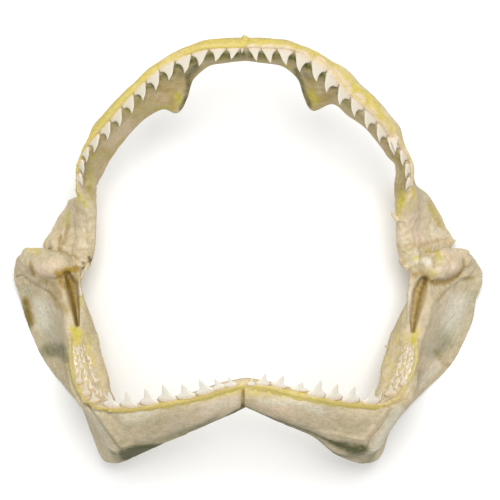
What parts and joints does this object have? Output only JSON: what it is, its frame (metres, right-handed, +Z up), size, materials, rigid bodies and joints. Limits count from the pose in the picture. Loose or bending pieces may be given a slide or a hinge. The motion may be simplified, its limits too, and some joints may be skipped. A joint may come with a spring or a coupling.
{
  "type": "shark jaw",
  "caption": "Dried jaws of a large requiem shark, laid on their back with the toothed mouth open upwards.",
  "frame": {"origin": "centre of the bounding box at its bottom, on the floor that the jaws lie on", "axes": "+Z up, out of the open mouth; +Y to the tip of the upper jaw; +X to the right half as a viewer above sees it"},
  "size_m": [0.4307, 0.3684, 0.1574],
  "materials": {
    "upper_cartilage": "dried cartilage, olive and tan with a yellow band outside the teeth, matt",
    "lower_cartilage": "dried cartilage, cream with grey hollows and pinkish streaks, matt",
    "gum": "dried gum tissue, yellow olive, slightly glossy where it is thin",
    "teeth": "off-white enamel with pinkish roots, satin"
  },
  "bodies": {
    "root": {"upper_jaw_left": "upper_cartilage", "upper_jaw_right": "upper_cartilage", "lower_jaw_left": "lower_cartilage", "lower_jaw_right": "lower_cartilage"}
  },
  "joints": []
}
